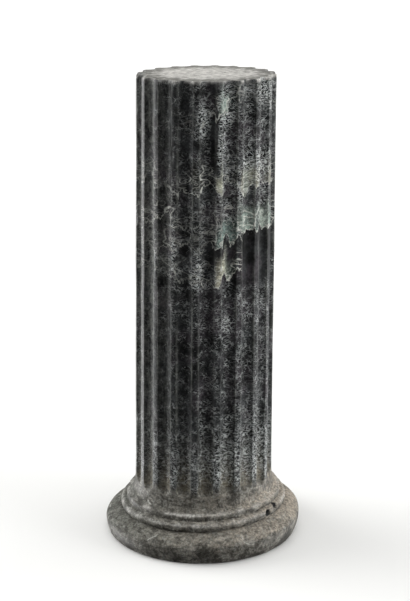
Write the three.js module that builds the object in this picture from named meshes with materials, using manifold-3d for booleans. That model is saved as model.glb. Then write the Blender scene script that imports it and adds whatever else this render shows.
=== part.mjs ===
// A fluted scagliola column: a gently tapering shaft on a round moulded foot, cast as one piece.
// Millimetres, +Z up, origin at the centre of the underside, front of the column towards -Y.

import * as THREE from "three";
import { mergeVertices } from "three/addons/utils/BufferGeometryUtils.js";
import Module from "manifold-3d";

// Shaft: radii are over the lands between the flutes
const HEIGHT = 1050;
const SHAFT_TOP_RADIUS = 149.5;
const SHAFT_FOOT_RADIUS = 156;

// Flutes: shallow round channels that end in a round stop below and run out through the top
const FLUTE_COUNT = 20;
const FLUTE_WIDTH = 34;
const FLUTE_DEPTH = 11.5;
const FLUTE_STOP_HEIGHT = 131;
const FIRST_FLUTE_DEGREES = 1.5;
const FLUTE_OVERRUN = 40;

// Foot, from the flare of the shaft down to the floor
const FLARE_TOP = 132;
const LIP_RADIUS = 176.5;
const LIP_TOP = 97;
const LIP_BOTTOM = 84;
const REED_RADIUS = 190.5;
const REED_MIDDLE = 74;
const REED_NECK_RADIUS = 184.5;
const TORUS_RADIUS = 222.5;
const TORUS_MIDDLE = 36.5;
const TORUS_CROWN_HALF_WIDTH = 72;
const TORUS_CROWN_RISE = 30.5;
const TORUS_SIDE_CURVE = 100;
const FLOOR_EDGE_RADIUS = 6.5;

// Two chips broken out of the reed on the front right: where each lump was, and its half sizes
const REED_CHIPS = [
  { degrees: 50.5, radius: 191, height: 74.5, along: 10, inward: 8, upward: 8.5 },
  { degrees: 60.5, radius: 189, height: 80, along: 8, inward: 6.5, upward: 5.5 },
];

// Facets
const ROUND_SEGMENTS = 100;
const ARC_DIVISIONS = 2;
const FLUTE_ROUND_SEGMENTS = 20;
const FLUTE_STOP_SEGMENTS = 5;
const CHIP_DETAIL = 1;

const SCAGLIOLA_COLOUR = "#34383a";
const SCAGLIOLA_ROUGHNESS = 0.45;

const QUARTER_TURN = Math.PI / 2;

const wasm = await Module();
wasm.setup();

// Angle about Z of a place given in degrees from the front, counted towards +X
function angleFromFront(degrees) {
  return THREE.MathUtils.degToRad(degrees) - QUARTER_TURN;
}

function toSolid(geometry) {
  geometry.deleteAttribute("normal");
  geometry.deleteAttribute("uv");
  const merged = mergeVertices(geometry);
  return new wasm.Manifold(
    new wasm.Mesh({
      numProp: 3,
      vertProperties: new Float32Array(merged.attributes.position.array),
      triVerts: new Uint32Array(merged.index.array),
    }),
  );
}

function toGeometry(solid) {
  const { vertProperties, triVerts } = solid.getMesh();
  const geometry = new THREE.BufferGeometry();
  geometry.setAttribute("position", new THREE.BufferAttribute(vertProperties, 3));
  geometry.setIndex(new THREE.BufferAttribute(triVerts, 1));
  geometry.computeVertexNormals();
  return geometry;
}

// Cushion-shaped torus: a rounded floor edge, an almost upright side and a flattened crown
function drawTorus(profile) {
  const sideCentre = TORUS_RADIUS - TORUS_SIDE_CURVE;
  const sideStart = -Math.asin((TORUS_MIDDLE - FLOOR_EDGE_RADIUS) / TORUS_SIDE_CURVE);
  const floorEdgeCentre = sideCentre + TORUS_SIDE_CURVE * Math.cos(sideStart) - FLOOR_EDGE_RADIUS;
  profile.lineTo(floorEdgeCentre, 0);
  profile.absarc(floorEdgeCentre, FLOOR_EDGE_RADIUS, FLOOR_EDGE_RADIUS, -QUARTER_TURN, 0);
  profile.absarc(sideCentre, TORUS_MIDDLE, TORUS_SIDE_CURVE, sideStart, 0);

  const crownCentre = TORUS_RADIUS - TORUS_CROWN_HALF_WIDTH;
  const crownEnd = Math.acos((REED_NECK_RADIUS - crownCentre) / TORUS_CROWN_HALF_WIDTH);
  profile.absellipse(crownCentre, TORUS_MIDDLE, TORUS_CROWN_HALF_WIDTH, TORUS_CROWN_RISE, 0, crownEnd);
  return TORUS_MIDDLE + TORUS_CROWN_RISE * Math.sin(crownEnd);
}

// Rounded reed standing on the crown of the torus
function drawReed(profile, neckHeight) {
  const lowerSpread = REED_RADIUS - REED_NECK_RADIUS;
  const lowerRise = REED_MIDDLE - neckHeight;
  profile.absellipse(REED_NECK_RADIUS, REED_MIDDLE, lowerSpread, lowerRise, -QUARTER_TURN, 0);
  const upperSpread = REED_RADIUS - LIP_RADIUS;
  const upperRise = LIP_BOTTOM - REED_MIDDLE;
  profile.absellipse(LIP_RADIUS, REED_MIDDLE, upperSpread, upperRise, 0, QUARTER_TURN);
}

// Upright lip, then a hollow quarter curve that dies into the shaft
function drawLipAndFlare(profile) {
  profile.lineTo(LIP_RADIUS, LIP_TOP);
  const spread = LIP_RADIUS - SHAFT_FOOT_RADIUS;
  const rise = FLARE_TOP - LIP_TOP;
  profile.absellipse(LIP_RADIUS, FLARE_TOP, spread, rise, 3 * QUARTER_TURN, Math.PI, true);
}

function makeTurnedBody() {
  const profile = new THREE.Path();
  profile.moveTo(0, 0);
  const neckHeight = drawTorus(profile);
  drawReed(profile, neckHeight);
  drawLipAndFlare(profile);
  profile.lineTo(SHAFT_TOP_RADIUS, HEIGHT);
  profile.lineTo(0, HEIGHT);
  const body = new THREE.LatheGeometry(profile.getPoints(ARC_DIVISIONS), ROUND_SEGMENTS);
  body.rotateX(QUARTER_TURN);
  return toSolid(body);
}

// A round-ended bar that leans inwards with the taper of the shaft and cuts one flute
function makeFluteCutter(angle) {
  const halfWidth = FLUTE_WIDTH / 2;
  const barRadius = (halfWidth ** 2 + FLUTE_DEPTH ** 2) / (2 * FLUTE_DEPTH);
  const stopCentreHeight = FLUTE_STOP_HEIGHT + halfWidth;
  const lean = Math.atan((SHAFT_FOOT_RADIUS - SHAFT_TOP_RADIUS) / (HEIGHT - FLARE_TOP));
  const shaftRadius = SHAFT_FOOT_RADIUS - (stopCentreHeight - FLARE_TOP) * Math.tan(lean);
  const chordDistance = Math.sqrt(shaftRadius ** 2 - halfWidth ** 2);
  const barLength = HEIGHT - stopCentreHeight + FLUTE_OVERRUN;

  const bar = new THREE.CapsuleGeometry(barRadius, barLength, FLUTE_STOP_SEGMENTS, FLUTE_ROUND_SEGMENTS);
  bar.rotateX(QUARTER_TURN);
  bar.translate(0, 0, barLength / 2);
  bar.rotateY(-lean);
  bar.translate(chordDistance + barRadius - FLUTE_DEPTH, 0, stopCentreHeight);
  bar.rotateZ(angle);
  return toSolid(bar);
}

function makeChipCutter({ degrees, radius, height, along, inward, upward }) {
  const lump = new THREE.IcosahedronGeometry(1, CHIP_DETAIL);
  lump.scale(inward, along, upward);
  lump.translate(radius, 0, height);
  lump.rotateZ(angleFromFront(degrees));
  return toSolid(lump);
}

function makeColumnGeometry() {
  let column = makeTurnedBody();
  for (let index = 0; index < FLUTE_COUNT; index += 1) {
    const degrees = FIRST_FLUTE_DEGREES + (index * 360) / FLUTE_COUNT;
    column = column.subtract(makeFluteCutter(angleFromFront(degrees)));
  }
  for (const chip of REED_CHIPS) {
    column = column.subtract(makeChipCutter(chip));
  }
  return toGeometry(column);
}

function makeColumn() {
  const scagliola = new THREE.MeshStandardMaterial({
    color: SCAGLIOLA_COLOUR,
    roughness: SCAGLIOLA_ROUGHNESS,
    metalness: 0,
  });
  const column = new THREE.Mesh(makeColumnGeometry(), scagliola);
  column.name = "column";
  return column;
}

const flutedColumn = new THREE.Group();
flutedColumn.name = "fluted_column";
flutedColumn.add(makeColumn());

export default flutedColumn;
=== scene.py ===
"""A worn, fluted scagliola column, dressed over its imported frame."""

import math
from functools import partial

import bpy
import numpy as np
from mathutils import Matrix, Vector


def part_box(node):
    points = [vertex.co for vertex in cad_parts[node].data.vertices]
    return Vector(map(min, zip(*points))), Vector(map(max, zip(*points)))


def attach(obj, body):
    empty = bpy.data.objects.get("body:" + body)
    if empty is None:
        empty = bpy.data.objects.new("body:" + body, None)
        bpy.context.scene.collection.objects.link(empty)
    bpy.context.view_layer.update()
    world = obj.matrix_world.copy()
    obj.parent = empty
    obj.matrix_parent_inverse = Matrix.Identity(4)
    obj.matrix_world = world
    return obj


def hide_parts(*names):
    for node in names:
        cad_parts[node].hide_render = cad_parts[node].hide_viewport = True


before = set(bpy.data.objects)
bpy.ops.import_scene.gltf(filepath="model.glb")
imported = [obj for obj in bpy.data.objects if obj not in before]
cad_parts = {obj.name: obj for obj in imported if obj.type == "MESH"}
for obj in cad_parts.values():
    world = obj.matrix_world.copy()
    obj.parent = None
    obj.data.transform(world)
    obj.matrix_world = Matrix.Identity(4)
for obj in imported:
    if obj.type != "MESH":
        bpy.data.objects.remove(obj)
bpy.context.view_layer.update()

bl_info = {
    "name": "Fluted Scagliola Column",
    "version": (1, 0, 0),
    "blender": (4, 5, 0),
    "location": "View3D > Sidebar > Column",
    "description": "Makes a worn marbled plaster column with round-ended flutes, and its studio stage",
    "category": "Object",
}

MM = 0.001
TAU = 2 * math.pi
COLUMN_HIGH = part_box("column")[1]

# Rows and steps of the column's surface grid
FLUTE_STEPS = 12
LAND_STEPS = 6
UNDERSIDE_ROWS = 3
FLOOR_EDGE_ROWS = 6
TORUS_SIDE_ROWS = 8
CROWN_ROWS = 22
REED_ROWS = 9
LIP_ROWS = 6
FLARE_ROWS = 18
STOP_ROWS = 18
SHAFT_ROWS = 140
RIM_ROWS = 6
TOP_ROWS = 14

# Chips in the foot: degrees from the front towards +X, then sizes in millimetres
REED_CHIPS = (
    {"degrees": 50.5, "radius": 191, "height": 74.5, "along": 10, "inward": 8, "upward": 8.5},
    {"degrees": 60.5, "radius": 189, "height": 80, "along": 8, "inward": 6.5, "upward": 5.5},
)

# Worn stretches of the top rim: degrees from the front, half length in degrees, rounding in millimetres
# and whether the break is fresh enough to show pale plaster
RIM_CHIPS = (
    (-84, 20, 11, 0), (-43, 3, 3, 0), (-25, 3, 3, 1),
    (30, 3, 4, 1), (48, 5, 5, 1), (64, 5, 5, 1),
    (80, 7, 7, 1), (150, 6, 5, 1), (205, 4, 4, 0),
)

# Pale strata of the marbling, from the top down: height over which each fades upwards in millimetres, and
# the lower edge as points of degrees from the front, height in millimetres, strength and share of cream
STRATA = (
    {"fade": 46, "edge": (
        (-30, 950, 0, 0.2), (-6, 949, 0.2, 0.1), (0, 970, 0.25, 0.1), (7, 980, 0.4, 0.1),
        (13, 980, 1, 0.1), (18, 985, 1, 0.1), (23, 1010, 0.5, 0.1), (32, 1025, 0.1, 0.1),
        (60, 1000, 0.1, 0.1), (120, 980, 0.6, 0.2), (170, 960, 0, 0.2), (220, 1000, 0.5, 0.1),
        (260, 960, 0, 0.2))},
    {"fade": 48, "edge": (
        (-51, 838, 0.45, 0.6), (-39, 825, 0.15, 0.6), (-24, 808, 0.3, 0.6), (-10, 822, 0.65, 0.8),
        (-2, 830, 0.65, 0.9), (5, 845, 0.25, 0.9), (10, 812, 1, 0.6), (13, 818, 1, 0.6),
        (17, 840, 0.3, 0.5), (25, 843, 0.3, 0.9), (30, 824, 0.75, 0.9), (37, 818, 0.8, 0.3),
        (46, 825, 0.8, 0.9), (56, 845, 0.6, 0.7), (67, 830, 0.8, 0.8), (85, 840, 0.3, 0.5),
        (120, 815, 0.7, 0.4), (160, 840, 0.1, 0.5), (200, 820, 0.6, 0.7), (250, 835, 0.2, 0.6))},
    {"fade": 46, "edge": (
        (-56, 741, 0.45, 0.6), (-34, 765, 0.5, 0.7), (-27, 745, 0.6, 0.6), (-16, 748, 0.15, 0.5),
        (0, 735, 0.3, 0.5), (8, 756, 0.3, 0.4), (20, 756, 0.4, 0.3), (32, 739, 1, 0.1),
        (39, 731, 1, 0.1), (47, 742, 0.8, 0.1), (57, 734, 1, 0.2), (68, 733, 0.9, 0.1),
        (85, 745, 0.4, 0.2), (130, 730, 0.8, 0.1), (180, 750, 0.1, 0.4), (230, 735, 0.7, 0.2),
        (270, 750, 0.2, 0.5))},
    {"fade": 44, "edge": (
        (-42, 693, 0.4, 0.2), (-29, 697, 0.45, 0.2), (-16, 700, 0.3, 0.2), (-8, 696, 0.1, 0.2),
        (4, 705, 0.3, 0.2), (11, 706, 1, 0), (17, 717, 1, 0), (23, 709, 1, 0),
        (27, 723, 0.8, 0), (34, 720, 0, 0), (70, 700, 0, 0.1), (140, 690, 0.6, 0.1),
        (190, 700, 0, 0.2), (240, 690, 0.5, 0.1), (280, 700, 0.2, 0.2))},
    {"fade": 52, "edge": (
        (-50, 656, 0.2, 0.6), (-27, 626, 0.4, 0.8), (-16, 618, 0.15, 0.7), (-4, 624, 0.45, 0.6),
        (4, 620, 0.35, 0.6), (11, 615, 1, 0.9), (16, 640, 1, 0.6), (21, 629, 0.8, 0.2),
        (28, 648, 0.7, 0), (34, 647, 0, 0), (80, 640, 0, 0.2), (120, 625, 0.6, 0.3),
        (170, 640, 0.1, 0.4), (230, 620, 0.5, 0.5), (280, 640, 0.2, 0.6))},
)

# Ragged pale clouds and, with a strength below nothing, plain dark patches: middle in degrees from the
# front and height in millimetres, half sizes in the same units, strength and share of cream
CLOUDS = (
    (16, 1000, 6, 28, 1, 0.1), (12, 930, 4, 55, 0.6, 0.1),
    (0, 975, 7, 40, 0.35, 0.1), (60, 1020, 14, 25, 0.4, 1),
    (50, 870, 18, 30, 0.4, 0.5), (19, 525, 5, 20, 0.45, 0.9),
    (-26, 690, 2.5, 60, 0.35, 0.6), (-6, 650, 4, 45, 0.3, 0.3),
    (8, 965, 3, 80, -0.6, 0), (48, 675, 20, 50, -0.8, 0),
    (15, 675, 10, 22, -0.8, 0), (140, 900, 11, 80, 0.55, 0.1),
    (215, 960, 12, 70, 0.45, 0.2), (190, 560, 14, 60, 0.25, 0.6),
)

# How thickly the fine grey lines lie, as height in millimetres and density
LINE_DENSITY = ((0, 0.3), (131, 0.6), (170, 0.75), (250, 0.68), (330, 0.52), (480, 0.52), (570, 0.56),
                (650, 0.56), (850, 0.56), (1050, 0.52))

# How far the lower edges of the strata wander up and down, from the noise's lowest to its highest
EDGE_WANDER = 90 * MM

# The left side, where the torus swells and the film of dust and painted light is thickest
LEFT_DEGREES = -90

# Where the softbox stands, as seen from the column
SOFTBOX_DIRECTION = (0.893, -0.383, 0.237)

# The photograph in pixels: its size, the fitted focal length and the column of the line of sight
PHOTO_WIDTH = 410
PHOTO_HEIGHT = 601
FOCAL_PIXELS = 1390
AXIS_PIXEL = 271.6

# Camera sensor in millimetres, along the longer side of the picture
SENSOR_WIDTH = 36

# Half the width of the floor, in metres
FLOOR_HALF_SIZE = 30

# Settings that many nodes share
SMOOTH = {"interpolation_type": "SMOOTHSTEP"}
COLOUR = {"data_type": "RGBA"}


def linear(hex_colour):
    """An sRGB hex value as linear red, green and blue."""
    values = np.array([int(hex_colour[i:i + 2], 16) for i in (1, 3, 5)]) / 255
    low = values / 12.92
    high = ((values + 0.055) / 1.055) ** 2.4
    return tuple(np.where(values <= 0.04045, low, high).tolist())


def per_metre(millimetres):
    """Texture scale that gives features of this size on Object coordinates."""
    return 1 / (millimetres * MM)


def plain_number(name, description, default):
    """A setting without a unit."""
    return bpy.props.FloatProperty(name=name, description=description, default=default)


def length_mm(name, description, millimetres):
    """A length setting, given in millimetres."""
    return bpy.props.FloatProperty(
        name=name, description=description, default=millimetres * MM, unit="LENGTH")


def angle_degrees(name, description, degrees):
    """An angle setting, given in degrees."""
    return bpy.props.FloatProperty(
        name=name, description=description, default=math.radians(degrees), subtype="ANGLE")


def srgb_colour(name, description, hex_colour):
    """A colour setting, given as an sRGB hex value."""
    return bpy.props.FloatVectorProperty(
        name=name, description=description, default=linear(hex_colour), subtype="COLOR")


class ColumnShape(bpy.types.PropertyGroup):
    """Sizes of the column."""

    shaft_top_radius: length_mm("Shaft top radius", "Over the lands, at the top", 150.5)
    shaft_foot_radius: length_mm("Shaft foot radius", "Over the lands, where the flare starts", 157)
    flute_count: bpy.props.IntProperty(
        name="Flutes", description="Flutes around the shaft", default=20, min=8)
    first_flute: angle_degrees("First flute", "Turn of the first flute from the front", 1.5)
    flute_width: length_mm("Flute width", "From arris to arris", 34)
    flute_depth: length_mm("Flute depth", "Below the line between the arrises", 11.5)
    flute_stop: length_mm("Flute stop", "Height of the round lower ends of the flutes", 131)
    flare_top: length_mm("Flare top", "Height where the shaft starts to flare", 132)
    lip_radius: length_mm("Lip radius", "Radius of the upright lip", 176.5)
    lip_top: length_mm("Lip top", "Height of the lip's upper edge", 97)
    lip_bottom: length_mm("Lip bottom", "Height of the lip's foot", 84)
    reed_radius: length_mm("Reed radius", "Widest radius of the reed", 190.5)
    reed_middle: length_mm("Reed middle", "Height of the reed's widest part", 74)
    reed_neck_radius: length_mm("Reed neck", "Radius of the crease below the reed", 184.5)
    torus_middle: length_mm("Torus middle", "Height of the torus's widest part", 36.5)
    crown_half_width: length_mm("Crown half width", "Half width of the ellipse of the torus's crown", 72)
    crown_rise: length_mm("Crown rise", "Half height of the ellipse of the torus's crown", 30.5)
    side_curve: length_mm("Side curve", "Radius of the torus's almost upright side", 100)
    floor_edge: length_mm("Floor edge", "Rounding of the lowest edge", 6.5)
    arris_wear: length_mm("Arris wear", "Usual loss along the arrises", 0.8)
    arris_nick: length_mm("Arris nicks", "Depth of the deepest nicks in the arrises", 3)
    rim_wear: length_mm("Rim wear", "Usual rounding of the top rim", 1.6)
    undercut: length_mm("Undercut", "Loss at the torus's lower edge on the front right", 3)
    swelling: length_mm("Swelling", "How far the torus is out of round on the left", 2)
    foot_skew: plain_number("Foot skew", "Rise of the foot's mouldings per length towards +X", 0.035)
    top_skew: plain_number("Top skew", "Rise of the top face per length towards +X", 0.018)


class ColumnColours(bpy.types.PropertyGroup):
    """Colours of the marbled plaster and of what has settled on it."""

    ground_dark: srgb_colour("Dark ground", "Black-green body of the marbling", "#161717")
    ground_light: srgb_colour("Light ground", "Greyer drifts in the body", "#3c3e3f")
    ground_plum: srgb_colour("Plum ground", "Faint plum drifts in the body", "#403c40")
    squiggle: srgb_colour("Squiggles", "Fine grey worm-like lines", "#c6cac8")
    vein: srgb_colour("Veins", "Pale arcs", "#d6d7cf")
    sea_green: srgb_colour("Sea green", "Green clouds", "#94a8a1")
    # Also the painted highlight around the flute stops
    cream: srgb_colour("Cream", "Cream clouds", "#eae4c9")
    # Also laid as painted highlight along the arrises and as the film's painted light
    arris: srgb_colour("Worn arris", "Rubbed edges", "#7e807b")
    # Darker than the tan, so the foot's left side also carries painted shade
    dust: srgb_colour("Dust", "Grey dust on the foot", "#5b5d57")
    tan: srgb_colour("Tan dust", "Warmer dust", "#a0978a")
    dirt: srgb_colour("Dirt", "Brown dirt in the flute stops", "#938870")
    # Also laid as painted shade in the creases, along the floor and on the left of the foot
    foot_dark: srgb_colour("Dark foot", "Brown-black body of the foot", "#3e3c37")
    foot_light: srgb_colour("Light foot", "Brown-grey stains in the foot", "#8f8c84")
    # Also the painted highlight along the foot's moulding edges
    plaster: srgb_colour("Plaster", "Rubbed top and fresh chips", "#bdbbb6")
    plaster_stain: srgb_colour("Stain", "Brown-grey stains on the top", "#74736e")


class StageSettings(bpy.types.PropertyGroup):
    """Floor, light and camera."""

    floor_colour: srgb_colour("Floor", "Matt white floor", "#e8e8e6")
    ceiling_light: plain_number("Ceiling light", "Brightness of the white ceiling", 1.7)
    left_wall_light: plain_number("Left wall light", "Brightness of the white wall on the left", 6.4)
    right_wall_light: plain_number("Right wall light", "Brightness of the white wall on the right", 2.2)
    softbox_light: plain_number("Softbox light", "Brightness of the softbox on the front right", 8.0)
    room_light: plain_number("Room light", "Brightness of the dim rest of the room", 0.12)
    camera_distance: length_mm("Camera distance", "From the column's axis", 3000)
    camera_height: length_mm("Camera height", "Above the floor", 1405)
    camera_pitch: angle_degrees("Camera pitch", "Downward tilt", 15.99)
    camera_roll: angle_degrees("Camera roll", "Turn about the line of sight", 1.19)
    camera_yaw: angle_degrees("Camera yaw", "Turn to the right of the column", 2.865)


def ease(share):
    """Smooth step from 0 to 1: three times the square less twice the cube, held at the ends."""
    share = np.clip(share, 0, 1)
    return share * share * (3 - 2 * share)


def bell(distance, width):
    """Bell of height 1: e to the minus square of the distance over the width."""
    return np.exp(-((distance / width) ** 2))


def swing_from(turn, degrees):
    """Turn from a place given in degrees from the front, at most half a turn either way."""
    return np.mod(turn - math.radians(degrees) + TAU / 2, TAU) - TAU / 2


def lattice_noise(turn, height, cell_degrees, cell_height, seed):
    """Smooth noise from -1 to 1: random values on a grid of cells, eased between, closed around the turn."""
    cells = round(360 / cell_degrees)
    levels = int(np.max(height) / cell_height) + 3
    values = np.random.default_rng(seed).uniform(-1, 1, (levels, cells))
    column = np.mod(turn, TAU) / TAU * cells
    level = np.clip(height, 0, None) / cell_height
    column_low = np.floor(column).astype(int)
    level_low = np.floor(level).astype(int)
    across = ease(column - column_low)
    upward = ease(level - level_low)
    left = column_low % cells
    right = (column_low + 1) % cells
    lower = values[level_low, left] * (1 - across) + values[level_low, right] * across
    upper = values[level_low + 1, left] * (1 - across) + values[level_low + 1, right] * across
    return lower * (1 - upward) + upper * upward


def arc(centre_radius, centre_height, reach_out, reach_up, start, end, steps):
    """Points of an ellipse arc: centre plus reach times cosine and sine, start and end in radians."""
    turn = np.linspace(start, end, steps + 1)
    return np.stack([centre_radius + reach_out * np.cos(turn), centre_height + reach_up * np.sin(turn)])


def line(start, end, steps):
    """Evenly spaced points from start to end, each a radius and a height."""
    return np.linspace(start, end, steps + 1).T


def torus_profile(shape):
    """Underside, rounded floor edge, almost upright side and flattened crown, as radius and height."""
    radius = COLUMN_HIGH[0]
    side_centre = radius - shape.side_curve
    side_start = -math.asin((shape.torus_middle - shape.floor_edge) / shape.side_curve)
    edge_centre = side_centre + shape.side_curve * math.cos(side_start) - shape.floor_edge
    crown_centre = radius - shape.crown_half_width
    crown_end = math.acos((shape.reed_neck_radius - crown_centre) / shape.crown_half_width)
    return [
        line((edge_centre / UNDERSIDE_ROWS, 0), (edge_centre, 0), UNDERSIDE_ROWS),
        arc(edge_centre, shape.floor_edge, shape.floor_edge, shape.floor_edge,
            -TAU / 4, 0, FLOOR_EDGE_ROWS),
        arc(side_centre, shape.torus_middle, shape.side_curve, shape.side_curve,
            side_start, 0, TORUS_SIDE_ROWS),
        arc(crown_centre, shape.torus_middle, shape.crown_half_width, shape.crown_rise,
            0, crown_end, CROWN_ROWS),
    ]


def reed_and_flare_profile(shape, neck_height):
    """Rounded reed, upright lip and the hollow quarter curve into the shaft, as radius and height."""
    return [
        arc(shape.reed_neck_radius, shape.reed_middle, shape.reed_radius - shape.reed_neck_radius,
            shape.reed_middle - neck_height, -TAU / 4, 0, REED_ROWS),
        arc(shape.lip_radius, shape.reed_middle, shape.reed_radius - shape.lip_radius,
            shape.lip_bottom - shape.reed_middle, 0, TAU / 4, REED_ROWS),
        line((shape.lip_radius, shape.lip_bottom), (shape.lip_radius, shape.lip_top), LIP_ROWS),
        arc(shape.lip_radius, shape.flare_top, shape.lip_radius - shape.shaft_foot_radius,
            shape.flare_top - shape.lip_top, 3 * TAU / 4, TAU / 2, FLARE_ROWS),
    ]


def foot_profile(shape):
    """The whole foot from the underside to the flare's top, without doubled joints."""
    parts = torus_profile(shape)
    parts += reed_and_flare_profile(shape, parts[-1][1, -1])
    joined = [parts[0]] + [part[:, 1:] for part in parts[1:]]
    return np.concatenate(joined, axis=1)


def shaft_radius(shape, height):
    """Radius over the lands: a straight taper from the flare to the top."""
    share = (height - shape.flare_top) / (COLUMN_HIGH[2] - shape.flare_top)
    return shape.shaft_foot_radius + share * (shape.shaft_top_radius - shape.shaft_foot_radius)


def shaft_profile(shape):
    """Rows up the shaft: close together over the flute stops, wider above, up to the worn rim."""
    stop_end = shape.flute_stop + 0.7 * shape.flute_width
    rim_start = COLUMN_HIGH[2] - 8 * MM
    over_stops = np.linspace(shape.flare_top, stop_end, STOP_ROWS + 1)[1:]
    above = np.linspace(stop_end, rim_start, SHAFT_ROWS + 1)[1:]
    heights = np.concatenate([over_stops, above])
    return np.stack([shaft_radius(shape, heights), heights])


def flute_half_angle(shape, height):
    """Half angle of the grid's flute band: full up the shaft, drawn in round the stop, full again below."""
    half_width = shape.flute_width / 2
    below_centre = np.clip(shape.flute_stop + half_width - height, 0, half_width)
    round_end = np.sqrt(np.maximum(half_width ** 2 - below_centre ** 2, (0.3 * half_width) ** 2))
    under = np.exp(-np.clip(shape.flute_stop - height, 0, None) / (12 * MM))
    width = np.where(height < shape.flute_stop, half_width - (half_width - round_end) * under, round_end)
    return np.arcsin(width / shaft_radius(shape, height))


def grid_turns(shape, height):
    """Turn of every grid point and its offset from its flute's centre, closer spaced near the arrises."""
    half = flute_half_angle(shape, height)[:, None]
    pitch = TAU / shape.flute_count
    in_flute = half * np.sin(TAU / 4 * np.linspace(-1, 1, FLUTE_STEPS + 1))
    on_land = pitch / 2 - (pitch / 2 - half) * np.cos(TAU / 2 * np.arange(1, LAND_STEPS) / LAND_STEPS)
    offset = np.concatenate([in_flute, on_land], axis=1)
    centres = shape.first_flute + pitch * np.arange(shape.flute_count)
    turn = centres[None, :, None] + offset[:, None, :]
    rows = len(height)
    return turn.reshape(rows, -1), np.tile(offset, (1, shape.flute_count)), half


def flute_surface(shape, height, offset):
    """Radius of the flute: the near side of a round-ended bar, centre times cosine less the chord's root."""
    half_width = shape.flute_width / 2
    bar = (half_width ** 2 + shape.flute_depth ** 2) / (2 * shape.flute_depth)
    chord = np.sqrt(shaft_radius(shape, height) ** 2 - half_width ** 2)
    centre = (chord + bar - shape.flute_depth)[:, None]
    below_centre = np.clip(shape.flute_stop + half_width - height, 0, bar)[:, None]
    reach = bar ** 2 - below_centre ** 2 - (centre * np.sin(offset)) ** 2
    return np.where(reach > 0, centre * np.cos(offset) - np.sqrt(np.maximum(reach, 0)), np.inf)


def arris_distance(shape, height, offset, half):
    """Distance along the surface from each grid point to the nearest arris."""
    pitch = TAU / shape.flute_count
    nearest = np.minimum(np.abs(np.abs(offset) - half), np.abs(pitch - half - offset))
    return nearest * shaft_radius(shape, height)[:, None]


def arris_loss(shape, turn, height, distance):
    """Loss along the arrises: steady wear plus scattered nicks, fading with the distance squared."""
    wear = shape.arris_wear * (0.55 + 0.45 * lattice_noise(turn, height, 3, 24 * MM, seed=11))
    chance = 0.6 * lattice_noise(turn, height, 3, 43 * MM, seed=12)
    chance = chance + 0.5 * lattice_noise(turn, height, 3, 17 * MM, seed=13)
    nick = np.clip(2.4 * chance - 1.1, 0, 1) * shape.arris_nick
    above_stop = ease((height - shape.flute_stop) / (10 * MM))
    return (wear + nick) * bell(distance, 2.4 * MM) * above_stop


def edge_loss(shape, turn, height):
    """Ragged loss along the lip's upper edge and the reed."""
    lip = bell(height - shape.lip_top, 3 * MM)
    reed = bell(height - shape.reed_middle, 7 * MM)
    ragged = 0.5 + 0.5 * lattice_noise(turn, height, 2.5, 60 * MM, seed=21)
    slow = 0.5 + 0.5 * lattice_noise(turn, height, 14, 90 * MM, seed=22)
    return lip * (0.6 + 2.2 * ragged * slow) * MM + reed * 1.1 * ragged * slow * MM


def lower_edge_loss(shape, turn, height):
    """Worn lower edge of the torus: most at the front right, none at the back left, eased out upwards."""
    towards_right = ease(0.5 + 0.6 * np.cos(turn - math.radians(60)))
    ragged = 1 + 0.3 * lattice_noise(turn, height, 6, 40 * MM, seed=23)
    return shape.undercut * towards_right * ragged * (1 - ease(height / (30 * MM))) ** 1.5


def out_of_round(shape, turn, height):
    """Torus swollen to the left: a bell around the left side, eased out under the reed."""
    on_left = bell(swing_from(turn, LEFT_DEGREES), math.radians(45))
    return shape.swelling * on_left * (1 - ease((height - shape.torus_middle) / (30 * MM)))


def chip_depth(chip, turn, height):
    """Depth in one chip: one less the squared distance in half sizes, rough by noise, negative outside."""
    rough = 0.22 * lattice_noise(turn, height, 2, 5 * MM, seed=int(chip["degrees"]))
    across = swing_from(turn, chip["degrees"]) * chip["radius"] / chip["along"]
    upward = (height / MM - chip["height"]) / chip["upward"]
    return 1 - across ** 2 - upward ** 2 + rough


def chip_cut(chip, turn, height):
    """Radius inside one chip: an ellipsoid scooped out of the foot, else infinite."""
    depth = chip_depth(chip, turn, height)
    scooped = (chip["radius"] - chip["inward"] * np.sqrt(np.clip(depth, 0, 1))) * MM
    return np.where(depth > 0, scooped, np.inf)


def rim_chip_size(turn, degrees, half_length, size):
    """Rounding at one chip of the rim: a bell around its middle, made uneven by noise."""
    nearby = bell(swing_from(turn, degrees), math.radians(half_length))
    uneven = 0.8 + 0.3 * lattice_noise(turn, np.zeros_like(turn), 3, 1, seed=32)
    return size * MM * nearby * uneven


def rim_rounding(shape, turn):
    """Radius of the worn top rim: an uneven little everywhere, more at each chip."""
    uneven = 0.8 + 0.6 * lattice_noise(turn, np.zeros_like(turn), 4, 1, seed=31)
    chips = [rim_chip_size(turn, *place) for *place, _ in RIM_CHIPS]
    return np.maximum.reduce([shape.rim_wear * uneven] + chips)


def pale_rim(turn):
    """Share of pale plaster along the rim: rubbed through here and there, and full in the fresh chips."""
    sizes = [rim_chip_size(turn, *place) for *place, is_fresh in RIM_CHIPS if is_fresh]
    fresh = ease((np.maximum.reduce(sizes) - 1.5 * MM) / (1.5 * MM))
    rubbed = 0.3 + 0.4 * lattice_noise(turn, np.zeros_like(turn), 2.5, 1, seed=33)
    return np.clip(np.maximum(fresh, rubbed), 0, 1)


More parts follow.
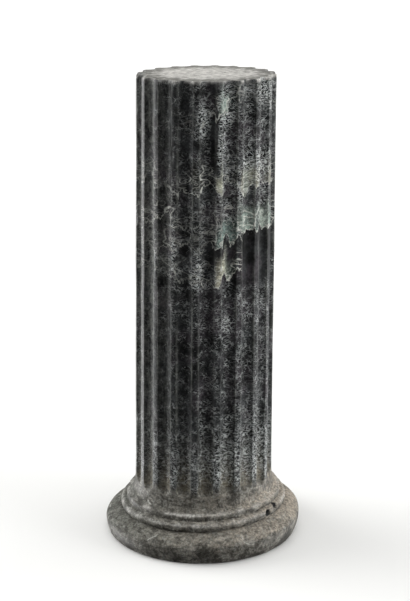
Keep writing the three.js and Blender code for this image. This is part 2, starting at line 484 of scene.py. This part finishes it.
def side_surface(shape):
    """Turn, radius and height of the foot and shaft: profile, less flutes, wear and chips."""
    profile = np.concatenate([foot_profile(shape), shaft_profile(shape)], axis=1)
    plain, height = profile
    turn, offset, half = grid_turns(shape, height)
    level = np.repeat(height[:, None], turn.shape[1], axis=1)
    radius = np.minimum(plain[:, None], flute_surface(shape, height, offset))
    hollow = (plain[:, None] - radius) / shape.flute_depth
    distance = arris_distance(shape, height, offset, half)
    radius = radius - arris_loss(shape, turn, level, distance)
    radius = radius - edge_loss(shape, turn, level)
    radius = radius - lower_edge_loss(shape, turn, level)
    radius = radius + out_of_round(shape, turn, level)
    wander = 0.5 * MM * (1 + lattice_noise(turn, level, 20, 110 * MM, seed=41))
    radius = radius + wander * ease(level / (9 * MM))
    for chip in REED_CHIPS:
        radius = np.minimum(radius, chip_cut(chip, turn, level))
    return {"turn": turn, "radius": radius, "height": level, "hollow": hollow, "distance": distance}


def top_surface(shape, side):
    """Rows over the rim and across the top: a quarter round of the rim's wear, then shrinking rings."""
    turn = side["turn"][-1]
    edge = side["radius"][-1]
    size = rim_rounding(shape, turn)
    bend = TAU / 4 * np.arange(1, RIM_ROWS + 1)[:, None] / RIM_ROWS
    rim_radius = edge - size * (1 - np.cos(bend))
    rim_height = COLUMN_HIGH[2] - size * (1 - np.sin(bend))
    share = np.linspace(1, 0, TOP_ROWS + 1)[1:-1, None]
    top_radius = share * rim_radius[-1]
    top_turn = np.repeat(turn[None], len(share), axis=0)
    uneven = 1 + lattice_noise(top_turn, top_radius, 30, 45 * MM, seed=51)
    dish = 0.25 * MM * uneven * ease(1.6 * (1 - share))
    return {
        "turn": np.concatenate([np.repeat(turn[None], RIM_ROWS, axis=0), top_turn]),
        "radius": np.concatenate([rim_radius, top_radius]),
        "height": np.concatenate([rim_height, COLUMN_HIGH[2] - dish]),
    }


def dust_amount(shape, side):
    """Dust on the foot: how far each row faces up, from the profile's slope, fading at the flute stops."""
    middle = side["radius"].mean(axis=1)
    height = side["height"][:, 0]
    run = -np.gradient(middle)
    rise = np.gradient(height)
    facing_up = run / np.maximum(np.hypot(run, rise), 1e-9)
    on_foot = 1 - ease((height - shape.flare_top + 12 * MM) / (50 * MM))
    above_floor = ease((height - 4 * MM) / (30 * MM))
    amount = (0.55 + 0.45 * ease(1.25 * facing_up)) * on_foot * above_floor
    return np.repeat(amount[:, None], side["turn"].shape[1], axis=1)


def around(turn, points, column):
    """Values of one column of listed points, straight between them, closed around the turn."""
    table = np.array(points)
    return np.interp(np.degrees(turn), table[:, 0], table[:, column], period=360)


def strata_marks(turn, height):
    """For each stratum: height above its lower edge in metres, its strength and its share of cream."""
    marks = {}
    for index, stratum in enumerate(STRATA):
        marks[f"above_{index}"] = height - around(turn, stratum["edge"], 1) * MM
        marks[f"pale_{index}"] = around(turn, stratum["edge"], 2)
        marks[f"cream_{index}"] = around(turn, stratum["edge"], 3)
    return marks


def line_density(turn, height):
    """Density of the fine grey lines: by height, and thicker on the front right than on the front left."""
    levels, density = np.array(LINE_DENSITY).T
    return np.interp(height / MM, levels, density) * (0.9 + 0.1 * np.sin(2 * turn))


def cloud_marks(turn, height):
    """Strength and cream of the clouds: a bell around each cloud's middle, summed up."""
    strength = np.zeros_like(turn)
    cream = np.zeros_like(turn)
    for degrees, middle, reach, rise, weight, cream_share in CLOUDS:
        across = np.degrees(swing_from(turn, degrees)) / reach
        upward = (height / MM - middle) / rise
        share = weight * bell(np.hypot(across, upward), 1)
        strength = strength + share
        cream = cream + share * cream_share
    return {"cloud": strength, "cloud_cream": cream}


def dust_film_and_painted_light(shape, turn, height):
    """Thin grey film of dust and painted light: full on the left, eased out to front and back, and three
    quarters above the foot.
    """
    from_left = np.abs(swing_from(turn, LEFT_DEGREES))
    on_left = 1 - ease((from_left - math.radians(30)) / math.radians(45))
    low_down = 0.75 * (1 - ease((height - shape.flute_stop) / (190 * MM)))
    return np.maximum(on_left, low_down)


def foot_grime_and_painted_shade(shape, turn, height, foot):
    """Dark grime on the foot, most on the left where it is thickened as painted shade, and bells of painted
    shade along both creases and along the floor.
    """
    # The left side of the foot is darkened as painted shade
    by_side = 0.8 - 0.5 * np.sin(turn)
    # Bells of painted shade under the lip, under the reed and along the floor
    under_lip = bell(height - shape.lip_bottom - 2 * MM, 3 * MM)
    under_reed = bell(height - shape.reed_middle + 6 * MM, 4 * MM)
    along_floor = np.exp(-height / (5 * MM))
    creases = np.maximum.reduce([under_lip, under_reed, along_floor])
    return np.maximum(by_side * foot, 1.6 * creases)


def moulding_edges_and_highlights(shape, side):
    """Rubbed edges of the foot with painted highlights: bells around the lip's upper edge and the reed's
    crest, uneven by noise.
    """
    turn, height = side["turn"], side["height"]
    lip = bell(height - shape.lip_top, 2.5 * MM)
    reed = bell(height - shape.reed_middle - 5 * MM, 3 * MM)
    uneven = 0.55 + 0.45 * lattice_noise(turn, height, 7, 60 * MM, seed=62)
    return np.maximum(lip, reed) * uneven


def chip_marks(turn, height):
    """Dark inside of the chips, and a bell along the edge of each."""
    chipped = np.zeros_like(turn)
    chip_edge = np.zeros_like(turn)
    for chip in REED_CHIPS:
        depth = chip_depth(chip, turn, height)
        chipped = np.maximum(chipped, ease(depth / 0.3))
        chip_edge = np.maximum(chip_edge, 0.5 * bell(depth + 0.1, 0.25))
    return {"chipped": chipped, "chip_edge": chip_edge}


def rubbed_arris_and_highlight(shape, side):
    """Rubbed arrises with painted highlights: a bell along each, above the flute stops, uneven by noise."""
    turn, height = side["turn"], side["height"]
    on_shaft = ease((height - shape.flute_stop) / (12 * MM))
    uneven = 0.45 + 0.6 * lattice_noise(turn, height, 6, 70 * MM, seed=61)
    return np.clip(bell(side["distance"], 1.6 * MM) * on_shaft * uneven, 0, 1)


def stop_marks(shape, side):
    """Pale painted highlight around each flute stop, and dirt in its hollow that dies away up the flute."""
    height, hollow = side["height"], side["hollow"]
    near_stop = 1 - ease((height - shape.flute_stop - 8 * MM) / (22 * MM))
    dying = np.exp(-np.clip(height - shape.flute_stop, 0, None) / (34 * MM))
    return {
        "stop_rim_highlight": bell(hollow - 0.08, 0.11) * near_stop * (hollow > 0),
        "stop_dirt": np.clip(hollow, 0, 1) * dying,
    }


def surface_marks(shape, side, top):
    """Per-point marks that the finish reads, for the side rows and then the top rows."""
    turn, height = side["turn"], side["height"]
    foot = 1 - ease((height - shape.flare_top + 8 * MM) / (40 * MM))
    marks = {
        "dust": dust_amount(shape, side),
        "warm": 0.5 + 0.5 * np.sin(turn),
        "arris": rubbed_arris_and_highlight(shape, side),
        "foot": foot,
        "grime_and_painted_shade": foot_grime_and_painted_shade(shape, turn, height, foot),
        "film_and_painted_light": dust_film_and_painted_light(shape, turn, height) * (0.35 + 0.65 * np.clip(side["hollow"], 0, 1)),
        "edge": moulding_edges_and_highlights(shape, side),
        "lines": line_density(turn, height),
        "bare": np.zeros_like(turn),
        "rim": np.zeros_like(turn),
        **stop_marks(shape, side),
        **chip_marks(turn, height),
        **cloud_marks(turn, height),
        **strata_marks(turn, height),
    }
    rows = len(top["turn"])
    top_marks = {name: np.repeat(values[-1:], rows, axis=0) for name, values in marks.items()}
    top_marks["bare"][:RIM_ROWS] = pale_rim(top["turn"][:RIM_ROWS])
    top_marks["rim"] = ease(1 - 2.5 * (1 - top["radius"] / top["radius"][RIM_ROWS - 1]))
    return {name: np.concatenate([values, top_marks[name]]) for name, values in marks.items()}


def grid_faces(rows, steps):
    """Quads between neighbouring rows, closed around, then a fan of triangles to each pole."""
    row = np.arange(rows - 1)[:, None] * steps
    step = np.arange(steps)[None]
    following = (step + 1) % steps
    quads = np.stack(np.broadcast_arrays(
        row + step, row + following, row + steps + following, row + steps + step), axis=-1)
    ring = np.arange(steps)
    bottom_pole, top_pole = rows * steps, rows * steps + 1
    last = (rows - 1) * steps
    bottom = np.stack([np.roll(ring, -1), ring, np.full(steps, bottom_pole)], axis=-1)
    top = np.stack([last + ring, last + np.roll(ring, -1), np.full(steps, top_pole)], axis=-1)
    return quads.reshape(-1, 4), np.concatenate([bottom, top])


def make_object(name, points, quads, triangles):
    """A smooth mesh object at the origin from points, quads and triangles."""
    mesh = bpy.data.meshes.new(name)
    mesh.from_pydata(points.tolist(), [], quads.tolist() + triangles.tolist())
    mesh.polygons.foreach_set("use_smooth", np.ones(len(mesh.polygons), dtype=bool))
    made = bpy.data.objects.new(name, mesh)
    bpy.context.scene.collection.objects.link(made)
    return made


def skew_lift(shape, across, height):
    """Skew of foot and top: lift in proportion to x, strongest in the mouldings and at the top face."""
    growing = np.clip(height / (40 * MM), 0, 1)
    dying = 1 - ease((height - shape.flute_stop) / (150 * MM))
    near_top = ease((height - COLUMN_HIGH[2] + 150 * MM) / (150 * MM))
    return across * (shape.foot_skew * growing * dying + shape.top_skew * near_top)


def column_points(shape, side, top):
    """Grid points from turn, radius and height, front towards -Y, with a pole below and above."""
    keys = ("turn", "radius", "height")
    turn, radius, height = (np.concatenate([side[key], top[key]]) for key in keys)
    across = radius * np.sin(turn)
    height = height + skew_lift(shape, across, height)
    points = np.stack([across, -radius * np.cos(turn), height], axis=-1).reshape(-1, 3)
    poles = np.array([[0, 0, 0], [0, 0, top["height"][-1].mean()]])
    return np.concatenate([points, poles])


def put_marks(piece, marks):
    """Stores each mark as a float attribute on the piece's points, with nothing at the poles."""
    for name, values in marks.items():
        layer = piece.data.attributes.new(name, "FLOAT", "POINT")
        layer.data.foreach_set("value", np.append(values.ravel(), [0, 0]).astype(np.float32))


def add_node(tree, kind, *values, output=0, **settings):
    """Adds a node with its settings, links or fills its open inputs in order and returns one output."""
    node = tree.nodes.new("ShaderNode" + kind)
    properties = [name for name in settings if hasattr(node, name)]
    for name in properties:
        setattr(node, name, settings[name])
    open_inputs = [socket for socket in node.inputs if socket.enabled]
    filled = list(zip(open_inputs, values))
    named = [name for name in settings if name not in properties]
    filled += [(node.inputs[name.replace("_", " ")], settings[name]) for name in named]
    for socket, value in filled:
        if isinstance(value, bpy.types.NodeSocket):
            tree.links.new(value, socket)
        else:
            socket.default_value = (*value, 1) if socket.type == "RGBA" else value
    if isinstance(output, str):
        return node.outputs[output]
    return [socket for socket in node.outputs if socket.enabled][output]


def new_material(name):
    """A material with only its output, add_node for its tree, and the call that links a shader to it."""
    material = bpy.data.materials.new(name)
    material.use_nodes = True
    tree = material.node_tree
    tree.nodes.clear()
    output = tree.nodes.new("ShaderNodeOutputMaterial")
    return material, partial(add_node, tree), partial(tree.links.new, output.inputs["Surface"])


def lay_over(add, ground, colour, share, cover):
    """Lays a colour over the ground where two shares meet, by their product."""
    both = add("Math", share, cover, operation="MULTIPLY")
    return add("Mix", both, ground, colour, **COLOUR)


def lay_ground(add, place, colours):
    """Black-green body with greyer and faintly plum drifts."""
    cloudy = add("TexNoise", place, Scale=per_metre(45), Detail=5, Roughness=0.62)
    drift = add("MapRange", cloudy, 0.36, 0.66, 0.0, 1.0, **SMOOTH)
    wide = add("TexNoise", place, Scale=per_metre(80), Detail=2, Roughness=0.5)
    plum = add("MapRange", wide, 0.45, 0.6, 0.0, 1.0, **SMOOTH)
    light = add("Mix", plum, colours.ground_light, colours.ground_plum, **COLOUR)
    return add("Mix", drift, colours.ground_dark, light, **COLOUR)


def contour_lines(add, place, size, count, width):
    """Share of nested contour lines: where a smooth noise times the count comes near a whole number."""
    swirl = add("TexNoise", place, Scale=per_metre(size), Detail=0, Distortion=0.5)
    level = add("Math", swirl, count, operation="MULTIPLY")
    gap = add("Math", level, 0.5, operation="PINGPONG")
    return add("MapRange", gap, 0.5 * width, width, 1.0, 0.0, **SMOOTH)


def lay_lines(add, place, marks, ground, colours):
    """Nested grey arcs, flattened as if combed sideways, in patches, and a few longer white veins.

    The finest real lines are thinner than a pixel, so the arcs and curls are drawn coarser, to show.
    """
    flattened = add("VectorMath", place, (1, 1, 1.6), operation="MULTIPLY")
    dense = add("Math", marks["lines"], marks["cloud"], operation="ADD")
    patchy = add("TexNoise", place, Scale=per_metre(20), Detail=4, Roughness=0.7)
    cover = add("Math", patchy, dense, operation="ADD")
    patch = add("MapRange", cover, 0.85, 1.4, 0.0, 1.0, **SMOOTH)
    arcs = contour_lines(add, flattened, size=16, count=4.0, width=0.17)
    curls = contour_lines(add, flattened, size=8, count=2.2, width=0.13)
    either = add("Math", arcs, curls, operation="MAXIMUM")
    lined = lay_over(add, ground, colours.squiggle, either, patch)
    vein = contour_lines(add, flattened, size=60, count=1.0, width=0.03)
    return lay_over(add, lined, colours.vein, vein, patch)


def lay_clouds(add, place, marks, ground, colours):
    """Ragged pale clouds, thick in the middle and broken into flecks at the edge."""
    ragged = add("TexNoise", place, Scale=per_metre(15), Detail=5, Roughness=0.7, Distortion=0.5)
    cover = add("Math", ragged, 2.4, marks["cloud"], operation="MULTIPLY_ADD")
    share = add("MapRange", cover, 1.75, 2.35, 0.0, 0.85, **SMOOTH)
    colour = add("Mix", marks["cloud_cream"], colours.sea_green, colours.cream, **COLOUR)
    return add("Mix", share, ground, colour, **COLOUR)


def lay_stratum(add, index, edge_noise, web, mottle, marks, ground, colours):
    """One pale stratum: mottled fill, a web of white lines and a crisp jagged lower outline."""
    fade = STRATA[index]["fade"] * MM
    level, pale, cream = (marks[f"{name}_{index}"] for name in ("above", "pale", "cream"))
    above = add("Math", edge_noise, EDGE_WANDER, level, operation="MULTIPLY_ADD")
    fading = add("MapRange", above, 0.2 * fade, 1.3 * fade, 1.0, 0.0, **SMOOTH)
    starting = add("MapRange", above, 0.0, 2 * MM, 0.0, 1.0, **SMOOTH)
    band = add("Math", starting, fading, operation="MULTIPLY")
    body = add("Math", band, mottle, operation="MULTIPLY")
    strong = add("MapRange", pale, 0.6, 1.0, 0.0, 0.95, **SMOOTH)
    colour = add("Mix", cream, colours.sea_green, colours.cream, **COLOUR)
    filled = lay_over(add, ground, colour, body, strong)
    from_edge = add("Math", above, operation="ABSOLUTE")
    outline = add("MapRange", from_edge, 0.6 * MM, 2.4 * MM, 0.9, 0.0, **SMOOTH)
    webbed = add("Math", band, web, operation="MULTIPLY")
    white = add("Math", outline, webbed, operation="MAXIMUM")
    lined = add("MapRange", pale, 0.0, 0.7, 0.0, 1.0)
    return lay_over(add, filled, colours.vein, white, lined)


def lay_strata(add, place, marks, ground, colours):
    """All pale strata, one over the other; their edges drip, so the edge noise is drawn out upwards."""
    drawn_out = add("VectorMath", place, (1.2, 1.2, 0.55), operation="MULTIPLY")
    drawn_flat = add("VectorMath", place, (0.8, 0.8, 1.5), operation="MULTIPLY")
    ragged = add("TexNoise", drawn_out, Scale=per_metre(24), Detail=3, Roughness=0.55)
    edge_noise = add("Math", ragged, 0.5, operation="SUBTRACT")
    blotchy = add("TexNoise", place, Scale=per_metre(13), Detail=5, Roughness=0.7, Distortion=0.8)
    mottle = add("MapRange", blotchy, 0.4, 0.6, 0.4, 1.0, **SMOOTH)
    fine_web = contour_lines(add, drawn_flat, size=17, count=3.4, width=0.1)
    bold_web = contour_lines(add, drawn_flat, size=34, count=2.4, width=0.07)
    web = add("Math", fine_web, 0.5, bold_web, operation="MULTIPLY_ADD", use_clamp=True)
    laid = ground
    for index in range(len(STRATA)):
        laid = lay_stratum(add, index, edge_noise, web, mottle, marks, laid, colours)
    return laid


def lay_wear(add, place, marks, ground, colours):
    """Rubbed arrises with painted highlights, a streaky film of dust and painted light, brown dirt in the
    flute stops and pale painted highlights around them.
    """
    coarse = add("TexNoise", place, Scale=per_metre(28), Detail=5, Roughness=0.65)
    rub = add("MapRange", coarse, 0.35, 0.65, 0.1, 0.85, **SMOOTH)
    # Paler arrises: rubbed wear and painted highlight
    rubbed = lay_over(add, ground, colours.arris, marks["arris"], rub)
    upright = add("VectorMath", place, (1, 1, 0.35), operation="MULTIPLY")
    streaky = add("TexNoise", upright, Scale=per_metre(9), Detail=5, Roughness=0.75)
    streak = add("MapRange", streaky, 0.38, 0.62, 0.0, 0.75, **SMOOTH)
    # Lighter film over the left side and low down: dust and painted light
    filmed_with_painted_light = lay_over(add, rubbed, colours.arris, marks["film_and_painted_light"], streak)
    fine = add("TexNoise", place, Scale=per_metre(9), Detail=4, Roughness=0.65)
    crust = add("MapRange", fine, 0.3, 0.62, 0.3, 1.0, **SMOOTH)
    dirty = lay_over(add, filmed_with_painted_light, colours.dirt, marks["stop_dirt"], crust)
    # Cream painted highlight around the flute stops
    return lay_over(add, dirty, colours.cream, marks["stop_rim_highlight"], rub)


def foot_dust(add, place, marks):
    """How far settled dust hides the plaster: most where it faces up, in blotches with a little grit."""
    blotch = add("TexNoise", place, Scale=per_metre(42), Detail=6, Roughness=0.66, Distortion=0.4)
    grit = add("TexNoise", place, Scale=per_metre(6), Detail=2, Roughness=0.6)
    gritty = add("Math", grit, 0.5, marks["dust"], operation="MULTIPLY_ADD")
    cover = add("Math", blotch, 2.0, gritty, operation="MULTIPLY_ADD")
    return add("MapRange", cover, 1.65, 2.5, 0.0, 0.95, **SMOOTH)


def lay_scratches(add, place, stained, marks, ground, colours):
    """Long slanting scratches and a fine crackle on the foot, broken up by its stains."""
    slanting = add("VectorMath", place, (0.7, 0.7, 1.5), operation="MULTIPLY")
    scratch = contour_lines(add, slanting, size=80, count=2.0, width=0.03)
    broken = add("MapRange", stained, 0.48, 0.6, 0.0, 0.3, **SMOOTH)
    in_patches = add("Math", scratch, broken, operation="MULTIPLY")
    scratched = lay_over(add, ground, colours.vein, in_patches, marks["foot"])
    crackle = contour_lines(add, place, size=13, count=3.0, width=0.14)
    thin = add("MapRange", stained, 0.4, 0.6, 0.1, 0.5, **SMOOTH)
    crackled = add("Math", crackle, thin, operation="MULTIPLY")
    return lay_over(add, scratched, colours.arris, crackled, marks["foot"])


def lay_foot(add, place, dust, marks, ground, colours):
    """Foot: stained plaster, dust, green-grey on the left and tan on the right with the left darker as
    painted shade, grime with painted shade, and rubbed edges with painted highlights.
    """
    stained = add("TexNoise", place, Scale=per_metre(26), Detail=5, Roughness=0.7)
    stain = add("MapRange", stained, 0.38, 0.64, 0.0, 1.0, **SMOOTH)
    brown = add("Mix", stain, colours.foot_dark, colours.foot_light, **COLOUR)
    bare = add("Mix", marks["foot"], ground, brown, **COLOUR)
    # Green-grey dust on the left and tan on the right; the left's darker dust is partly painted shade
    dust_colour = add("Mix", marks["warm"], colours.dust, colours.tan, **COLOUR)
    dusty = add("Mix", dust, bare, dust_colour, **COLOUR)
    level_streaks = add("VectorMath", place, (0.6, 0.6, 2.2), operation="MULTIPLY")
    streaky = add("TexNoise", level_streaks, Scale=per_metre(10), Detail=4, Roughness=0.7)
    # Dark foot colour laid as grime and as painted shade in the creases, along the floor and on the left
    grime_and_painted_shade = add("MapRange", streaky, 0.38, 0.6, 0.8, 0.05, **SMOOTH)
    grimed_and_shaded = lay_over(add, dusty, colours.foot_dark, grime_and_painted_shade, marks["grime_and_painted_shade"])
    scratched = lay_scratches(add, place, stained, marks, grimed_and_shaded, colours)
    # Pale plaster along the lip's upper edge and the reed's crest: rubbed edges and painted highlight
    rub = add("MapRange", stained, 0.35, 0.6, 0.1, 0.7, **SMOOTH)
    return lay_over(add, scratched, colours.plaster, marks["edge"], rub)


def marbled_scagliola(colours, mark_names):
    """Scagliola, coloured plaster cast and polished: dark, pale-veined and satin, matt where dust lies."""
    material, add, show = new_material("marbled_scagliola")
    place = add("TexCoord", output="Object")
    marks = {name: add("Attribute", attribute_name=name, output="Fac") for name in mark_names}
    lined = lay_lines(add, place, marks, lay_ground(add, place, colours), colours)
    clouded = lay_clouds(add, place, marks, lined, colours)
    marbled = lay_strata(add, place, marks, clouded, colours)
    worn = lay_wear(add, place, marks, marbled, colours)
    dust = foot_dust(add, place, marks)
    footed = lay_foot(add, place, dust, marks, worn, colours)
    bared = add("Mix", marks["bare"], footed, colours.plaster, **COLOUR)
    edged = add("Mix", marks["chip_edge"], bared, colours.tan, **COLOUR)
    broken = add("Mix", marks["chipped"], edged, colours.ground_dark, **COLOUR)
    # The plaster's grain is finer than a pixel, so it is drawn at 6 mm, to show
    grain = add("TexNoise", place, Scale=per_metre(6), Detail=3, Roughness=0.7)
    shade = add("MapRange", grain, 0.3, 0.7, 0.55, 1.45, **SMOOTH)
    grained = add("VectorMath", broken, Scale=shade, operation="SCALE")
    bump = add("Bump", Strength=0.5, Distance=1.2 * MM, Height=grain)
    gloss = add("MapRange", dust, 0.0, 1.0, 0.42, 0.85)
    shader = add("BsdfPrincipled", Base_Color=grained, Specular_IOR_Level=0.15, Normal=bump, Roughness=gloss)
    show(shader)
    return material


def rubbed_plaster_top(colours):
    """Sawn and rubbed plaster of the top face: pale, chalky, with ring scratches and brown-grey stains."""
    material, add, show = new_material("rubbed_plaster_top")
    place = add("TexCoord", output="Object")
    cloudy = add("TexNoise", place, Scale=per_metre(26), Detail=6, Roughness=0.75)
    # The top is mixed darker towards the rim
    rim = add("Attribute", attribute_name="rim", output="Fac")
    stain = add("Math", rim, 0.3, cloudy, operation="MULTIPLY_ADD")
    stain_share = add("MapRange", stain, 0.42, 0.78, 0.0, 1.0, **SMOOTH)
    stained = add("Mix", stain_share, colours.plaster, colours.plaster_stain, **COLOUR)
    rings = add("TexWave", place, wave_type="RINGS", rings_direction="Z", Scale=per_metre(70),
                Distortion=5.0, Detail=4, Detail_Scale=2.0)
    shade = add("MapRange", rings, 0.0, 1.0, 0.9, 1.05, **SMOOTH)
    ringed = add("VectorMath", stained, Scale=shade, operation="SCALE")
    speckle = add("TexNoise", place, Scale=per_metre(14), Detail=5, Roughness=0.75)
    speck = add("MapRange", speckle, 0.36, 0.62, 0.6, 1.12, **SMOOTH)
    specked = add("VectorMath", ringed, Scale=speck, operation="SCALE")
    bump = add("Bump", Strength=0.3, Distance=0.6 * MM, Height=rings)
    shader = add("BsdfPrincipled", Base_Color=specked, Roughness=0.8, Specular_IOR_Level=0.2, Normal=bump)
    show(shader)
    return material


def matt_floor(colour):
    """Floor rolled with matt paint: plain and pale, with no gloss to the eye."""
    material, add, show = new_material("matt_white_floor")
    show(add("BsdfPrincipled", Base_Color=colour, Roughness=0.95))
    return material


class COLUMN_OT_make_column(bpy.types.Operator):
    """Make the fluted column, with its wear and its marbled finish"""

    bl_idname = "fluted_column.make_column"
    bl_label = "Make Column"

    def execute(self, context):
        shape = context.scene.column_shape
        colours = context.scene.column_colours
        side = side_surface(shape)
        top = top_surface(shape, side)
        rows = len(side["turn"]) + len(top["turn"])
        steps = side["turn"].shape[1]
        quads, triangles = grid_faces(rows, steps)
        points = column_points(shape, side, top)
        piece = make_object("scagliola_column", points, quads, triangles)
        marks = surface_marks(shape, side, top)
        put_marks(piece, marks)
        side_marks = [name for name in marks if name != "rim"]
        piece.data.materials.append(marbled_scagliola(colours, side_marks))
        piece.data.materials.append(rubbed_plaster_top(colours))
        on_top = np.zeros(len(quads) + len(triangles), dtype=np.int32)
        on_top[(len(side["turn"]) + RIM_ROWS - 1) * steps:len(quads)] = 1
        on_top[-steps:] = 1
        piece.data.polygons.foreach_set("material_index", on_top)
        piece.data.update()
        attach(piece, "root")
        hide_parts("column")
        return {"FINISHED"}


def make_floor(colour):
    """A flat square floor that throws no light back on the column."""
    corners = FLOOR_HALF_SIZE * np.array([[-1, -1, 0], [1, -1, 0], [1, 1, 0], [-1, 1, 0]])
    floor = make_object("floor", corners, np.array([[0, 1, 2, 3]]), np.empty((0, 3), dtype=int))
    floor.data.materials.append(matt_floor(colour))
    floor.visible_diffuse = False
    floor.visible_glossy = False


def make_world(stage):
    """Light: a white wall on each side, ceiling and softbox in a dim room; the camera sees plain white."""
    world = bpy.data.worlds.new("studio_room")
    bpy.context.scene.world = world
    world.use_nodes = True
    tree = world.node_tree
    tree.nodes.clear()
    add = partial(add_node, tree)
    direction = add("TexCoord", output="Generated")
    rightward, backward, upward = (add("SeparateXYZ", direction, output=axis) for axis in "XYZ")
    slope = add("Math", upward, operation="ABSOLUTE")
    on_left = add("MapRange", rightward, -0.85, -0.45, stage.left_wall_light, 0.0, **SMOOTH)
    on_right = add("MapRange", rightward, 0.45, 0.85, 0.0, stage.right_wall_light, **SMOOTH)
    at_sides = add("Math", on_left, on_right, operation="ADD")
    not_in_front = add("MapRange", backward, -0.35, 0.15, 0.0, 1.0, **SMOOTH)
    upright = add("MapRange", slope, 0.5, 0.75, 1.0, 0.0, **SMOOTH)
    side_walls = add("Math", at_sides, not_in_front, operation="MULTIPLY")
    walls = add("Math", side_walls, upright, operation="MULTIPLY")
    ceiling = add("MapRange", upward, 0.65, 0.85, stage.room_light, stage.ceiling_light, **SMOOTH)
    room = add("Math", walls, ceiling, operation="ADD")
    nearness = add("VectorMath", direction, SOFTBOX_DIRECTION, operation="DOT_PRODUCT")
    softbox = add("MapRange", nearness, 0.95, 0.985, 0.0, stage.softbox_light, **SMOOTH)
    brightness = add("Math", room, softbox, operation="ADD")
    lit = add("Background", Color=(1, 1, 1), Strength=brightness)
    seen = add("Background", Color=(1, 1, 1), Strength=1.0)
    from_camera = add("LightPath", output="Is Camera Ray")
    mixed = add("MixShader", from_camera, lit, seen)
    output = tree.nodes.new("ShaderNodeOutputWorld")
    tree.links.new(mixed, output.inputs["Surface"])


def make_camera(stage):
    """A camera at the photograph's viewing angle: back, up, pitched down, with a slight roll and yaw."""
    camera = bpy.data.cameras.new("camera")
    camera.sensor_width = SENSOR_WIDTH
    camera.lens = FOCAL_PIXELS / PHOTO_HEIGHT * SENSOR_WIDTH
    camera.shift_x = (PHOTO_WIDTH / 2 - AXIS_PIXEL) / PHOTO_HEIGHT
    eye = bpy.data.objects.new("camera", camera)
    turn = (
        Matrix.Rotation(-stage.camera_yaw, 4, "Z")
        @ Matrix.Rotation(TAU / 4 - stage.camera_pitch, 4, "X")
        @ Matrix.Rotation(stage.camera_roll, 4, "Z")
    )
    eye.matrix_world = Matrix.Translation((0, -stage.camera_distance, stage.camera_height)) @ turn
    bpy.context.scene.collection.objects.link(eye)
    bpy.context.scene.camera = eye


class COLUMN_OT_make_stage(bpy.types.Operator):
    """Make the pale floor, the soft light and the camera"""

    bl_idname = "fluted_column.make_stage"
    bl_label = "Make Stage"

    def execute(self, context):
        stage = context.scene.column_stage
        make_camera(stage)
        make_floor(stage.floor_colour)
        make_world(stage)
        context.scene.view_settings.view_transform = "Standard"
        return {"FINISHED"}


class VIEW3D_PT_fluted_column(bpy.types.Panel):
    """Sizes, colours and stage of the fluted column"""

    bl_idname = "VIEW3D_PT_fluted_column"
    bl_label = "Fluted Column"
    bl_space_type = "VIEW_3D"
    bl_region_type = "UI"
    bl_category = "Column"

    def draw(self, context):
        layout = self.layout
        groups = (
            (COLUMN_OT_make_column, context.scene.column_shape),
            (None, context.scene.column_colours),
            (COLUMN_OT_make_stage, context.scene.column_stage),
        )
        for operator, settings in groups:
            box = layout.box()
            for name in settings.__annotations__:
                box.prop(settings, name)
            if operator:
                box.operator(operator.bl_idname)


CLASSES = (
    ColumnShape,
    ColumnColours,
    StageSettings,
    COLUMN_OT_make_column,
    COLUMN_OT_make_stage,
    VIEW3D_PT_fluted_column,
)


def register():
    for each in CLASSES:
        bpy.utils.register_class(each)
    bpy.types.Scene.column_shape = bpy.props.PointerProperty(type=ColumnShape)
    bpy.types.Scene.column_colours = bpy.props.PointerProperty(type=ColumnColours)
    bpy.types.Scene.column_stage = bpy.props.PointerProperty(type=StageSettings)


def unregister():
    del bpy.types.Scene.column_stage
    del bpy.types.Scene.column_colours
    del bpy.types.Scene.column_shape
    for each in reversed(CLASSES):
        bpy.utils.unregister_class(each)


def main():
    register()
    bpy.ops.fluted_column.make_column()
    bpy.ops.fluted_column.make_stage()


if __name__ == "__main__":
    main()
